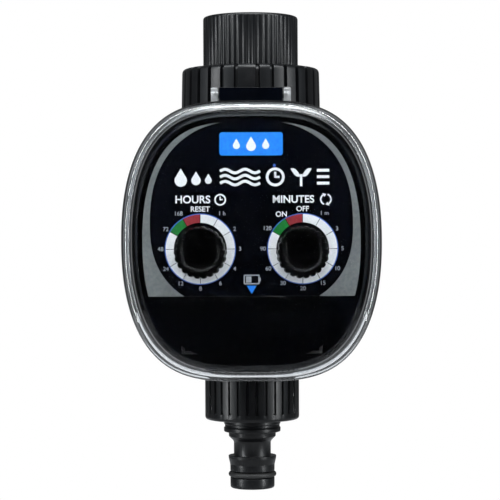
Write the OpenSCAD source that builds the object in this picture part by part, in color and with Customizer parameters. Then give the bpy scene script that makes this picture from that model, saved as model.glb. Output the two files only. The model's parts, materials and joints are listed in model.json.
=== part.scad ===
// Two-dial garden water timer: it hangs on a tap by its inlet, opens and closes a motor-driven
// ball valve, and feeds a hose or a drip line from the push-fit nose at its foot.
// Millimetres, +Z up, front towards -Y. The origin is the centre of the inlet's mouth.

/* [Case] */
// Width of the case, without its lid
case_w = 82; // [80:1:84]
// Height of the case, without its lid
case_h = 89.2; // [88:0.2:90]
// Depth of the front case, from the flow axis to the fascia
front_d = 34; // [34:0.5:36]
// Depth of the rear case, from the flow axis to its back
rear_d = 20; // [19:0.5:23]
// Thickness of the case walls
wall = 2; // [1.8:0.1:2.2]

/* [Lid] */
// Gap between the case and the lid, all round
lid_gap = 1.4; // [1:0.1:1.6]
// Thickness of the clear lid
lid_wall = 1.8; // [1.6:0.1:2]
// How far the lid stands in front of the fascia
lid_depth = 14.5; // [14:0.5:18]

/* [Dials] */
// Distance between the two dials
dial_pitch = 34.8; // [34:0.2:36]
// Radius of a dial
dial_r = 9.1; // [8.8:0.1:9.6]
// Height of a dial in front of the fascia
dial_h = 9.2; // [8:0.1:9.6]
// Flutes round a dial
dial_flutes = 22; // [16:1:24]

/* [Inlet] */
// Radius of the swivel nut over its ribs
nut_r = 24.9; // [24.6:0.1:25.1]
// Height of the swivel nut
nut_h = 16.3; // [16:0.1:17]
// Ribs round the swivel nut
nut_ribs = 30; // [24:1:32]
// Radius of the thread adapter over its ribs
adapter_r = 17; // [16.6:0.1:17.4]
// Height of the adapter above the swivel nut
adapter_h = 18.7; // [18.5:0.1:19.5]
// Fine ribs round the adapter
adapter_ribs = 52; // [40:1:60]

/* [Outlet] */
// Radius of the hose connector's nut over its ribs
outlet_r = 16.9; // [16.6:0.1:17.3]
// Ribs round the hose connector's nut
outlet_ribs = 32; // [24:1:36]

/* [Hidden] */

$fn = 96;
seam = 0.05;          // gap between the two halves of the case
clear = 0.1;          // running clearance of a shaft or a thread
side_power = 3.4;     // how square the case looks from side to side
end_power = 2.25;     // how square it looks from top to bottom
outline_n = 72;       // points round the case outline

// Case frame: heights below are measured from the case's centre
case_hw = case_w / 2;
case_hh = case_h / 2;
nut_z = case_hh + 0.7;                        // foot of the swivel nut
case_drop = nut_z + nut_h + adapter_h;        // from the inlet's mouth to the case's centre
fascia_y = -front_d;
lid_hw = case_hw + lid_gap + lid_wall;
lid_hh = case_hh + lid_gap + lid_wall;
lid_rim_y = -26;                              // the lid's open edge
lid_front_y = fascia_y - lid_depth;

// Lid hinge
hinge_y = -28.6;
hinge_z = case_hh + 5.7;
hinge_block_w = 21.8;
arm_x = 12.5;                                 // centre of each clear arm
arm_t = 2.4;
arm_r = 3.3;
pin_r = 1.2;

// Dials
dial_x = dial_pitch / 2;
dial_z = -3.8;
shaft_r = 3;
flute_depth = 0.5;
label_edge_z = -18.8;                         // straight lower edge of the printed label
label_t = 0.5;

// Threads: male and female stand at one radius, 0.1 mm apart, so that they slide past each other
g1_r = 15.15;
g34_r = 12.06;
outlet_thread_r = 12.9;
tap_thread_z = -12;                           // foot of the tap's thread
tap_seat_z = -14.4;                           // floor of the recess for the tap's washer
tap_seat_r = 12.5;

// Valve
bore_r = 6;
tube_r = 11.4;
spigot_r = 12.6;
chamber_r = 14.5;
ball_r = 9.5;
ball_z = 12;
stem_r = 3;

// Gear train, one module throughout
gear_m = 0.6;
output_t = 40;
idler_small_t = 12;
idler_large_t = 36;
pinion_t = 10;
motor_x = 26;
stage_1 = gear_m * (output_t + idler_small_t) / 2;
stage_2 = gear_m * (idler_large_t + pinion_t) / 2;
idler_x = (stage_1 * stage_1 - stage_2 * stage_2 + motor_x * motor_x) / (2 * motor_x);
idler_z = sqrt(stage_1 * stage_1 - idler_x * idler_x);
idler_dir = atan2(idler_z, idler_x);                  // from the stem towards the idler
pinion_dir = atan2(-idler_z, motor_x - idler_x);      // from the idler towards the motor
gear_back_y = -15.9;
output_w = 3;
idler_gap = 0.5;
large_w = 2;
axle_r = 1;
motor_shaft_r = 0.75;

// Board, cells and fasteners
board_y = -25;
board_t = 1.6;
cell_r = 5.2;
cell_l = 44.5;
cell_y = -25.2;
cell_z = [-22.8, -33.4];
tray_hw = 25.6;
tray_z = [-16.9, -39.8];
door_z = -19.6;                               // upper edge of the battery door
screw_x = 29.5;
screw_z = 28;
washer_h = 2.4;

// Hose connector heights, measured from the case's centre
outlet_top_z = -case_hh - 0.9;
outlet_foot_z = -64;
outlet_floor_z = -61.3;
nose_tip_z = -88.75;
oring_z = -83.8;

// ---------------------------------------------------------------- helpers

// Places a shape drawn about the case's centre
module in_case() translate([0, 0, -case_drop]) children();

// Places a shape on a dial's axis, side -1 for the left dial and 1 for the right
module at_dial(side) in_case() translate([side * dial_x, 0, dial_z]) children();

// Turns +Z to -Y, so that a cylinder drawn upwards points out of the front
module forward() rotate([90, 0, 0]) children();

// Cylinder along Y, from y0 forwards to y1
module rod(r, y0, y1) translate([0, y0, 0]) forward() cylinder(r = r, h = y0 - y1);

// Box between two corners
module block(a, b) translate(a) cube([b[0] - a[0], b[1] - a[1], b[2] - a[2]]);

// Ring along Z
module ring(ro, ri, z0, z1) translate([0, 0, z0]) difference() {
    cylinder(r = ro, h = z1 - z0);
    translate([0, 0, -1]) cylinder(r = ri, h = z1 - z0 + 2);
}

// Rubber ring round Z
module oring(r, section) rotate_extrude() translate([r, 0]) circle(r = section, $fn = 24);

function signed_pow(v, p) = sign(v) * pow(abs(v), p);

// Outline of the case: straight-sided in the middle and round at the corners
function outline(hw, hh) = [
    for (i = [0 : outline_n - 1]) let (a = 360 * i / outline_n)
        [hw * signed_pow(cos(a), 2 / side_power), hh * signed_pow(sin(a), 2 / end_power)]
];

// Outline extruded from y0 forwards to y1
module slab(hw, hh, y0, y1) translate([0, y0, 0]) forward()
    linear_extrude(y0 - y1) polygon(outline(hw, hh));

// Triangles that join one ring of outline points to the next
function ring_sides(rings) = [
    for (j = [0 : rings - 2], i = [0 : outline_n - 1], upper = [false, true]) let (
        a = j * outline_n + i, b = j * outline_n + (i + 1) % outline_n
    ) upper ? [b, a + outline_n, b + outline_n] : [a, a + outline_n, b]
];

// Shape through a list of sections, each [inset from hw and hh, y], from the back to the front
module loft(hw, hh, sections) {
    last = (len(sections) - 1) * outline_n;
    polyhedron(
        [for (s = sections) for (p = outline(hw - s[0], hh - s[0])) [p[0], s[1], p[1]]],
        concat([[for (i = [0 : outline_n - 1]) i]], ring_sides(len(sections)),
            [[for (i = [outline_n - 1 : -1 : 0]) last + i]]));
}

// Bars round Z, for ribs or for the grooves between them: count bars of width w from r0 to r1
module bars(count, w, r0, r1, z0, z1) for (i = [0 : count - 1]) rotate([0, 0, (i + 0.5) * 360 / count])
    translate([r0, -w / 2, z0]) cube([r1 - r0, w, z1 - z0]);

// Spur gear outline with slim teeth, a tooth centred on +X
function gear_points(teeth) = let (
    r = gear_m * teeth / 2, tip = r + 0.8 * gear_m, root = r - 1.15 * gear_m, step = 360 / teeth
) [
    for (i = [0 : teeth - 1]) for (p = [[root, -0.27], [tip, -0.1], [tip, 0.1], [root, 0.27]])
        [p[0] * cos(step * (i + p[1])), p[0] * sin(step * (i + p[1]))]
];

module gear(teeth, y0, width, angle) translate([0, y0, 0]) forward()
    linear_extrude(width) rotate(angle) polygon(gear_points(teeth));

// Cross-head screw pointing forwards from the back, head at y0
module screw(r, length, head_r, head_h) {
    difference() {
        rod(head_r, head_h, 0);
        for (a = [0, 90]) rotate([0, a, 0])
            block([-head_r * 0.6, head_h * 0.4, -0.35], [head_r * 0.6, head_h + 1, 0.35]);
    }
    rod(r, 0.01, -length);
}

// ---------------------------------------------------------------- inlet

module inlet_adapter() color("#1b1c1e") {
    foot = -adapter_h - nut_h + 7.1;
    bottom = -adapter_h + 0.3;
    difference() {
        union() {
            rotate_extrude() polygon([
                [0, bottom], [adapter_r, bottom], [adapter_r, -1.1],
                [adapter_r - 0.4, -0.3], [adapter_r - 1.3, 0], [0, 0]]);
            translate([0, 0, foot]) cylinder(r = g1_r - clear, h = bottom + 0.2 - foot);
        }
        bars(adapter_ribs, 0.9, adapter_r - 0.45, adapter_r + 1, bottom - 1, -1.9);
        translate([0, 0, tap_thread_z - 0.1]) cylinder(r = g34_r, h = 20);
        translate([0, 0, tap_seat_z]) cylinder(r = tap_seat_r, h = tap_thread_z - tap_seat_z);
        translate([0, 0, foot - 1]) cylinder(r = 9, h = 40);
    }
}

module tap_washer() color("#2a2a2c") ring(tap_seat_r - 0.1, 8.2, tap_seat_z, tap_thread_z - 0.2);

module swivel_nut() color("#141517") in_case() translate([0, 0, nut_z]) {
    core_r = nut_r - 1.3;
    difference() {
        union() {
            rotate_extrude() polygon([
                [0, 0], [core_r, 0], [core_r - 0.3, nut_h - 3],
                [core_r - 1.2, nut_h - 1], [core_r - 3, nut_h], [0, nut_h]]);
            intersection() {
                bars(nut_ribs, 3.4, core_r - 3, nut_r + 1, 0, nut_h);
                rotate_extrude() polygon([
                    [0, 0], [nut_r, 0], [nut_r - 0.3, nut_h - 3.2],
                    [nut_r - 1.2, nut_h - 1.1], [nut_r - 2.9, nut_h], [0, nut_h]]);
            }
        }
        translate([0, 0, 2.4]) cylinder(r = g1_r, h = nut_h);
        translate([0, 0, -1]) cylinder(r = spigot_r + 0.3, h = 5);
    }
}

module nut_washer() color("#2a2a2c") in_case() ring(g1_r - 0.25, 8.6, nut_z + 4.75, nut_z + 7.05);

module filter_screen() color("#b9bec3") in_case() translate([0, 0, nut_z + 4.7]) {
    bars = 10;
    difference() {
        translate([0, 0, -13]) cylinder(r1 = 4, r2 = 7.6, h = 13);
        translate([0, 0, -12.4]) cylinder(r1 = 3.4, r2 = 7, h = 13);
        for (i = [0 : bars - 1]) rotate([0, 0, i * 360 / bars]) for (h = [-11.2, -7.6, -4])
            translate([2, -0.7, h]) cube([8, 1.4, 2.6]);
    }
    ring(8.4, 6.9, -0.05, 0.7);
}

module inlet_spigot() color("#1b1c1e") in_case() difference() {
    union() {
        translate([0, 0, 27]) cylinder(r = spigot_r, h = nut_z + 3 - 27);
        translate([0, 0, nut_z + 2.5]) cylinder(r = g1_r - 0.25, h = 2.2);
    }
    translate([0, 0, 20]) cylinder(r = 8.4 + clear, h = 40);
    translate([0, 0, 31]) oring_groove(spigot_r, 1.5);
}

module oring_groove(r, depth) rotate_extrude() translate([r - depth, -1.2]) square([depth + 1, 2.4]);

module spigot_oring() color("#101010") in_case() translate([0, 0, 31]) oring(spigot_r - 0.72, 0.75);

module inlet_grommet() color("#101010") in_case() ring(spigot_r + 1.5, spigot_r + seam, case_hh - 3.2, case_hh);

// ---------------------------------------------------------------- valve

module valve_body() color("#2b2d30") in_case() difference() {
    union() {
        translate([0, 0, -3]) cylinder(r = chamber_r, h = 41);
        translate([0, 0, ball_z]) rod(6.5, 0, gear_back_y + 1.35);
        for (s = [-1, 1]) translate([s * 12, 0, ball_z + 10]) rod(2.2, 0, gear_back_y + 1.35);
        for (s = [-1, 1]) translate([s * 12, 0, ball_z - 10]) rod(2.2, 0, gear_back_y + 1.35);
    }
    translate([0, 0, 26.5]) cylinder(r = spigot_r + 0.05, h = 20);
    translate([0, 0, 20]) cylinder(r = 8.4, h = 10);
    translate([0, 0, -4]) cylinder(r = ball_r + 0.4, h = 4 + ball_z + 10.6);
    translate([0, 0, ball_z]) rod(stem_r + 0.06, 0, -20);
    translate([0, 0, ball_z]) rod(4.6, -8, -12.9);
    for (s = [-1, 1], h = [-10, 10]) translate([s * 12, 0, ball_z + h]) rod(1, -9, -20);
}

module valve_seats() color("#e9e6dc") in_case() for (s = [-1, 1]) difference() {
    ring(ball_r + 0.35, bore_r + 0.4, ball_z + (s > 0 ? 5.2 : -10.5), ball_z + (s > 0 ? 10.5 : -5.2));
    translate([0, 0, ball_z]) sphere(r = ball_r + 0.06);
}

module valve_ball() color("#c9a45a") in_case() translate([0, 0, ball_z]) difference() {
    sphere(r = ball_r);
    rotate([0, 90, 0]) cylinder(r = bore_r, h = 30, center = true);
    block([-1.6, -10, -4.2], [1.6, -7.4, 4.2]);
}

module valve_stem() color("#b8bcc0") in_case() translate([0, 0, ball_z]) {
    difference() {
        rod(stem_r, -9.7, gear_back_y - output_w - 0.3);
        for (h = [-10.6, -12.1]) translate([0, h, 0]) forward() oring_groove_small();
        block([-4, gear_back_y - 5, 2.15], [4, gear_back_y + 0.05, 4]);
    }
    block([-1.5, -9.8, -2.6], [1.5, -7.6, 2.6]);
}

module oring_groove_small() rotate_extrude() translate([stem_r - 0.7, -0.5]) square([2, 1]);

module stem_orings() color("#101010") in_case() translate([0, 0, ball_z])
    for (h = [-10.6, -12.1]) translate([0, h, 0]) forward() oring(stem_r + 0.65, 0.55);

module valve_outlet() color("#1b1c1e") in_case() difference() {
    union() {
        translate([0, 0, -case_hh - 1]) cylinder(r = tube_r, h = case_hh - 2);
        translate([0, 0, -4.2]) cylinder(r = ball_r + 0.3, h = ball_z - 10.55 + 4.2);
        translate([0, 0, -6]) cylinder(r = chamber_r, h = 2.95);
        translate([0, 0, -58.8]) cylinder(r = outlet_thread_r, h = 58.8 - case_hh - 0.9);
    }
    translate([0, 0, -70]) cylinder(r = bore_r + 0.4, h = 90);
    translate([0, 0, -1]) oring_groove(ball_r + 0.3, 1.4);
}

module outlet_oring() color("#101010") in_case() translate([0, 0, -1]) oring(ball_r - 0.15, 0.5);

module outlet_grommet() color("#101010") in_case() ring(tube_r + 1.6, tube_r + seam, -case_hh, -case_hh + 3.2);

// ---------------------------------------------------------------- drive

module output_gear() color("#e4e2d6") in_case() translate([0, 0, ball_z]) difference() {
    union() {
        gear(output_t, gear_back_y, output_w, idler_dir);
        translate([0, gear_back_y - output_w + 0.01, 0]) rod(3.9, 0, -1.8);
        translate([-8, 0, 0]) rod(1.6, gear_back_y - output_w + 0.01, gear_back_y - output_w - 1.8);
    }
    difference() {
        rod(stem_r + 0.02, gear_back_y + 1, gear_back_y - output_w - 0.3);
        block([-4, gear_back_y - 8, 2.18], [4, gear_back_y + 2, 4]);
    }
}

module idler_gear() color("#e4e2d6") in_case() translate([idler_x, 0, ball_z + idler_z]) {
    small_y = gear_back_y;
    large_y = gear_back_y - output_w - idler_gap;
    difference() {
        union() {
            gear(idler_small_t, small_y, output_w + idler_gap + 0.5, idler_dir + 180 + 180 / idler_small_t);
            gear(idler_large_t, large_y, large_w, pinion_dir);
        }
        rod(axle_r + 0.05, 0, -30);
    }
}

module idler_axle() color("#b8bcc0") in_case() translate([idler_x, 0, ball_z + idler_z])
    rod(axle_r, gear_back_y + 1.3, gear_back_y - 8.2);

module motor_pinion() color("#c9a45a") in_case() translate([motor_x, 0, ball_z]) difference() {
    gear(pinion_t, gear_back_y - output_w - 0.3, large_w + 0.6, pinion_dir + 180 + 180 / pinion_t);
    rod(motor_shaft_r, 0, -30);
}

module gear_motor() color("#aeb3b8") in_case() translate([motor_x, 0, ball_z]) {
    intersection() {
        rod(10, 11, gear_back_y + 1.35);
        block([-12, -20, -7.6], [12, 20, 7.6]);
    }
    difference() {
        rod(3, gear_back_y + 1.4, gear_back_y + 0.6);
        rod(motor_shaft_r + 0.05, 0, -30);
    }
    for (s = [-1, 1]) block([s * 5 - 0.9, 10.9, -0.3], [s * 5 + 0.9, 14, 0.3]);
}

module motor_shaft() color("#b8bcc0") in_case() translate([motor_x, 0, ball_z])
    rod(motor_shaft_r, gear_back_y + 1.25, gear_back_y - 6.2);

// Plate of the gearbox, drawn about the valve stem
module gear_plate(y0, y1) hull() {
    for (p = [[-13, -11], [-13, 11], [31, 5], [31, -9.5], [14, 18.5]])
        translate([p[0], 0, p[1]]) rod(2.4, y0, y1, $fn = 32);
}

gear_posts = [[-13, -11], [31, -9.5], [-13, 11]];

module gearbox_base() color("#3c4147") in_case() translate([0, 0, ball_z]) difference() {
    union() {
        gear_plate(gear_back_y + 1.3, gear_back_y + 0.4);
        for (p = gear_posts) translate([p[0], 0, p[1]]) rod(2.3, gear_back_y + 0.5, gear_back_y - 7);
    }
    rod(stem_r + 0.15, 0, -30);
    translate([idler_x, 0, idler_z]) rod(axle_r, 0, -30);
    translate([motor_x, 0, 0]) rod(3.1, 0, -30);
    for (p = gear_posts) translate([p[0], 0, p[1]]) rod(0.8, gear_back_y - 1, -40);
}

module gearbox_cover() color("#3c4147") in_case() translate([0, 0, ball_z]) difference() {
    gear_plate(gear_back_y - 7, gear_back_y - 8.2);
    translate([idler_x, 0, idler_z]) rod(axle_r, 0, -30);
    translate([motor_x, 0, 0]) rod(1.5, 0, -30);
    for (p = gear_posts) translate([p[0], 0, p[1]]) rod(0.8, 0, -40);
}

module gearbox_screws() color("#b8bcc0") in_case() translate([0, 0, ball_z]) for (p = gear_posts)
    translate([p[0], gear_back_y - 8.2, p[1]]) rotate([0, 0, 180]) screw(0.75, 4, 1.7, 0.8);

module limit_switches() color("#202226") in_case() translate([0, 0, ball_z]) for (s = [-1, 1]) {
    block([-8.5, gear_back_y - 6.9, s * 8 - 2], [-2.5, gear_back_y - 5.2, s * 8 + 2]);
    block([-7.2, gear_back_y - 7, s * 8 - s * 3.2 - 0.5], [-6.2, gear_back_y - 5.2, s * 8 - s * 1.9 + 0.5]);
}

// ---------------------------------------------------------------- electronics

module circuit_board() color("#1f6b3b") in_case() difference() {
    block([-33, board_y - board_t, -15.5], [33, board_y, 23]);
    for (s = [-1, 1], h = [-12.5, 20]) translate([s * 30, 0, h]) rod(1.1, 0, -40);
}

module control_chip() color("#17181a") in_case() {
    block([-4.5, board_y - board_t - 1.4, 8], [4.5, board_y - board_t, 15]);
    for (s = [-1, 1], i = [0 : 6]) block([s * 5 - 0.7, board_y - board_t - 0.5, 8.7 + i * 0.9 - 0.15],
        [s * 5 + 0.7, board_y - board_t, 8.7 + i * 0.9 + 0.15]);
}

module board_screws() color("#b8bcc0") in_case() for (s = [-1, 1], h = [-12.5, 20])
    translate([s * 30, board_y, h]) screw(1, 5, 1.9, 0.9);

// Housing of a rotary switch on the board
module switch_housing(side) at_dial(side) difference() {
    union() {
        block([-6.5, board_y - board_t - 3.6, -6.5], [6.5, board_y - board_t, 6.5]);
        rod(4.4, board_y - board_t, board_y - board_t - 3.7);
    }
    rod(shaft_r + 0.05, -20, -40);
}

module frequency_switch() color("#2f4a7a") switch_housing(-1);
module runtime_switch() color("#2f4a7a") switch_housing(1);

// Shaft that joins a dial to its rotary switch, with a flat for the dial
module dial_shaft(side) at_dial(side) difference() {
    rod(shaft_r, board_y - board_t - 0.3, fascia_y - 6.5);
    block([-4, -60, 2], [4, fascia_y - 1, 4]);
}

module frequency_shaft() color("#d8d9db") dial_shaft(-1);
module runtime_shaft() color("#d8d9db") dial_shaft(1);

module shaft_seals() color("#101010") for (s = [-1, 1]) at_dial(s)
    translate([0, fascia_y + 1.9, 0]) forward() oring(shaft_r + 0.75, 0.65);

// Fluted dial with a raised pointer, bored for the flatted shaft
module dial(side) at_dial(side) {
    foot = fascia_y - 0.4;
    top = fascia_y - dial_h;
    difference() {
        union() {
            translate([0, foot, 0]) forward() rotate_extrude() polygon([
                [0, 0], [dial_r, 0], [dial_r - 0.3, dial_h - 1.4],
                [dial_r - 1.3, dial_h - 0.4], [0, dial_h - 0.4]]);
            block([-0.6, top - 0.35, 1.5], [0.6, top + 0.5, dial_r - 1.8]);
        }
        for (i = [0 : dial_flutes - 1]) rotate([0, (i + 0.5) * 360 / dial_flutes, 0])
            translate([0, 0, dial_r + 1 - flute_depth]) rod(1, foot + 1, top - 1);
        difference() {
            rod(shaft_r + 0.02, 0, fascia_y - 6.6);
            block([-4, -60, 2.02], [4, fascia_y - 1.02, 4]);
        }
        difference() {
            rod(dial_r - 1.8, 0, fascia_y - 5);
            rod(shaft_r + 1.6, 1, fascia_y - 6);
        }
    }
}

module frequency_dial() color("#08090b") dial(-1);
module runtime_dial() color("#08090b") dial(1);

// ---------------------------------------------------------------- battery

module battery_tray() color("#1c1d20") in_case() difference() {
    intersection() {
        block([-tray_hw, -31.95, tray_z[1]], [tray_hw, -18.8, tray_z[0]]);
        slab(case_hw - wall - 0.15, case_hh - wall - 0.15, -10, -40);
    }
    for (z = cell_z) {
        translate([0, cell_y, z]) rotate([0, 90, 0]) cylinder(r = cell_r + 0.1, h = cell_l + 4.6, center = true);
        block([-cell_l / 2 - 2.3, -40, z - cell_r - 0.1], [cell_l / 2 + 2.3, cell_y, z + cell_r + 0.1]);
    }
}

module battery_cells() color("#7d8790") in_case() for (i = [0, 1]) translate([0, cell_y, cell_z[i]])
    rotate([0, i == 0 ? 90 : -90, 0]) {
        translate([0, 0, -cell_l / 2 + 0.4]) cylinder(r = cell_r, h = cell_l - 1.2);
        translate([0, 0, cell_l / 2 - 0.9]) cylinder(r = 1.9, h = 0.9);
    }

// Conical contact spring: rings that close in towards the cell
module battery_springs() color("#c4c8cb") in_case() for (i = [0, 1])
    translate([(i == 0 ? -1 : 1) * (cell_l / 2 + 2.2), cell_y, cell_z[i]]) rotate([0, i == 0 ? 90 : -90, 0]) {
        cylinder(r = 4.4, h = 0.3);
        translate([0, 0, 0.29]) difference() {
            cylinder(r1 = 4.2, r2 = 2.6, h = 2.1);
            translate([0, 0, -0.5]) cylinder(r1 = 3.7, r2 = 1.9, h = 3);
        }
    }

module battery_plates() color("#c4c8cb") in_case() for (i = [0, 1])
    translate([(i == 0 ? 1 : -1) * (cell_l / 2 + 2.0), cell_y, cell_z[i]]) rotate([0, i == 0 ? -90 : 90, 0]) {
        cylinder(r = 4.4, h = 0.3);
        cylinder(r = 2, h = 1.95);
    }

// Lower part of the fascia outline, inset from the case outline
module door_shape(inset, top, y0, y1) intersection() {
    slab(case_hw - inset, case_hh - inset, y0, y1);
    block([-60, y1 - 1, -60], [60, y0 + 1, top]);
}

module battery_door() color("#0b0c0e") in_case() {
    difference() {
        union() {
            door_shape(4.4, door_z, fascia_y - 0.05, fascia_y - 1.1);
            door_shape(5, door_z - 0.6, fascia_y - 1.09, fascia_y - 1.6);
            door_shape(8.3, door_z - 3, fascia_y - 0.06, fascia_y + 1.9 - 4);
            block([-23, fascia_y - 0.06, -37.5], [23, fascia_y + 1.6, -22.9]);
        }
        block([-22, fascia_y - 0.05 + 0.6, -36.5], [22, fascia_y + 3, -23.9]);
    }
}

module door_seal() color("#101010") in_case() difference() {
    block([-23.9, fascia_y + 0.1, -38.4], [23.9, fascia_y + 1.5, -22]);
    block([-23.05, fascia_y - 1, -37.55], [23.05, fascia_y + 2, -22.85]);
}

// ---------------------------------------------------------------- case

module front_case() color("#0c0d0f") in_case() difference() {
    union() {
        difference() {
            loft(case_hw, case_hh, [[0, 0], [0, fascia_y + 2.4], [0.6, fascia_y + 1], [2, fascia_y]]);
            slab(case_hw - wall, case_hh - wall, 1, fascia_y + wall);
        }
        // hinge block
        block([-hinge_block_w / 2, hinge_y - 2.9, case_hh - 1.2],
            [hinge_block_w / 2, hinge_y + 2.5, hinge_z + 2.3]);
        // catch for the lid
        block([-6, -29.5, -case_hh - 0.5], [6, -28.3, -case_hh + 1]);
        for (s = [-1, 1], h = [-1, 1]) translate([s * screw_x, 0, h * screw_z]) rod(3.4, 0, fascia_y + 1);
        for (s = [-1, 1], h = [-12.5, 20]) translate([s * 30, 0, h]) rod(2.6, board_y - board_t, fascia_y + 1);
        for (s = [-1, 1]) translate([s * dial_x, 0, dial_z]) rod(shaft_r + 3.2, fascia_y + 3.5, fascia_y + 1);
    }
    // pin, dials, screws and tube notches
    translate([0, hinge_y, hinge_z]) rotate([0, 90, 0]) cylinder(r = pin_r, h = 60, center = true);
    for (s = [-1, 1]) translate([s * dial_x, 0, dial_z]) {
        rod(shaft_r + 0.15, -20, -60);
        rod(shaft_r + 1.45, fascia_y + 2.65, fascia_y + 1.15);
    }
    for (s = [-1, 1], h = [-1, 1]) translate([s * screw_x, 0, h * screw_z]) rod(1.1, 1, -14);
    for (s = [-1, 1], h = [-12.5, 20]) translate([s * 30, 0, h]) rod(1, -20, -31.6);
    cylinder(r = spigot_r + 1.5, h = 100);
    translate([0, 0, -100]) cylinder(r = tube_r + 1.6, h = 100);
    // recess for the label
    label_shape(0.15, fascia_y + label_t - 0.1, fascia_y - 1);
    // opening behind the battery door
    block([-24, fascia_y - 1, -38.5], [24, fascia_y + 3, -21.9]);
    // groove for the case seal
    difference() {
        slab(case_hw - 0.6, case_hh - 0.6, 1, -1.2);
        slab(case_hw - 1.4, case_hh - 1.4, 2, -2.2);
    }
}

module rear_case() color("#0c0d0f") in_case() difference() {
    union() {
        difference() {
            loft(case_hw, case_hh,
                [[9.5, rear_d], [4.4, rear_d - 1.6], [1.2, rear_d - 5], [0, rear_d - 9], [0, seam]]);
            loft(case_hw - wall, case_hh - wall,
                [[9.5, rear_d - 2], [4.4, rear_d - 3.4], [1.2, rear_d - 6.5], [0, rear_d - 10], [0, -1]]);
        }
        for (s = [-1, 1], h = [-1, 1]) translate([s * screw_x, 0, h * screw_z]) rod(3.6, rear_d - 6, seam);
    }
    for (s = [-1, 1], h = [-1, 1]) translate([s * screw_x, 0, h * screw_z]) {
        rod(1.6, 40, -1);
        rod(3, 40, rear_d - 9);
    }
    cylinder(r = spigot_r + 1.5, h = 100);
    translate([0, 0, -100]) cylinder(r = tube_r + 1.6, h = 100);
}

module case_seal() color("#101010") in_case() difference() {
    slab(case_hw - 0.65, case_hh - 0.65, 0, -1.15);
    slab(case_hw - 1.35, case_hh - 1.35, 1, -2);
    cylinder(r = spigot_r + 1.5, h = 100);
    translate([0, 0, -100]) cylinder(r = tube_r + 1.6, h = 100);
}

module case_screws() color("#b8bcc0") in_case() for (s = [-1, 1], h = [-1, 1])
    translate([s * screw_x, rear_d - 9, h * screw_z]) screw(1.05, 22, 2.8, 1.8);

// Outline of the printed label: the case outline, cut straight below the dials
module label_shape(grow, y0, y1) intersection() {
    slab(case_hw - 3.8 + grow, case_hh - 3.8 + grow, y0, y1);
    block([-60, y1 - 1, label_edge_z - grow], [60, y0 + 1, 60]);
}

module label_plate() color("#0a0f1c") in_case() difference() {
    label_shape(0, fascia_y + label_t - 0.1, fascia_y - 0.1);
    for (s = [-1, 1]) translate([s * dial_x, 0, dial_z]) rod(shaft_r + 0.6, -20, -60);
}

// ---------------------------------------------------------------- lid

module clear_lid() color([0.85, 0.9, 0.95, 0.3]) in_case() difference() {
    union() {
        difference() {
            loft(lid_hw, lid_hh, [[0, lid_rim_y], [0, lid_front_y + 9], [0.9, lid_front_y + 5],
                [3.2, lid_front_y + 2.4], [7.5, lid_front_y + 0.9], [18, lid_front_y]]);
            loft(lid_hw - lid_wall, lid_hh - lid_wall, [[0, lid_rim_y + 1], [0, lid_front_y + 10],
                [0.9, lid_front_y + 6.4], [3.2, lid_front_y + 4.1], [7.5, lid_front_y + 2.7],
                [18, lid_front_y + lid_wall]]);
        }
        for (s = [-1, 1]) translate([s * arm_x - arm_t / 2, hinge_y, 0])
            block([0, -arm_r, lid_hh - 1.2], [arm_t, 2.55, hinge_z + 2.4]);
        // thumb lip under the free edge
        block([-9, lid_rim_y - 1, -lid_hh + 0.1], [9, lid_rim_y + 3.2, -lid_hh + lid_wall - 0.3]);
    }
    translate([0, hinge_y, hinge_z]) rotate([0, 90, 0]) cylinder(r = pin_r + 0.06, h = 60, center = true);
    // notch that clears the hinge block
    block([-arm_x + arm_t / 2, hinge_y - 3.4, lid_hh - 6], [arm_x - arm_t / 2, 0, lid_hh + 9]);
}

module hinge_pin() color("#1b1c1e") in_case() translate([0, hinge_y, hinge_z]) rotate([0, 90, 0])
    cylinder(r = pin_r, h = 2 * arm_x, center = true);

// ---------------------------------------------------------------- outlet

module hose_connector() color("#141517") in_case() difference() {
    rotate_extrude() polygon([
        [0, outlet_top_z], [outlet_r, outlet_top_z], [outlet_r, outlet_foot_z + 1.6],
        [outlet_r - 0.5, outlet_foot_z + 0.5], [outlet_r - 1.6, outlet_foot_z], [10.15, outlet_foot_z],
        [10.15, -68.2], [9.6, -68.7], [8.45, -68.7], [8.4, -70.3], [6.9, -71.4], [6.64, -72], [6.64, -77.3],
        [8.6, -77.5], [8.55, -78], [8.05, -80.6], [7.95, -81], [7.95, nose_tip_z + 1.8],
        [7.4, nose_tip_z + 0.5], [6.6, nose_tip_z], [0, nose_tip_z]]);
    bars(outlet_ribs, 0.9, outlet_r - 0.75, outlet_r + 1, outlet_foot_z + 2.6, outlet_top_z + 1);
    translate([0, 0, outlet_floor_z]) cylinder(r = outlet_thread_r + clear, h = 30);
    translate([0, 0, -100]) cylinder(r = 5, h = 60);
    translate([0, 0, oring_z]) rotate_extrude() translate([6.7, -1]) square([4, 2]);
}

module connector_washer() color("#2a2a2c") in_case()
    ring(outlet_thread_r - 0.1, bore_r + 1, outlet_floor_z + 0.05, outlet_floor_z + washer_h);

module nose_oring() color("#101010") in_case() translate([0, 0, oring_z]) oring(7.65, 0.95);

// ---------------------------------------------------------------- nodes

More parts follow.
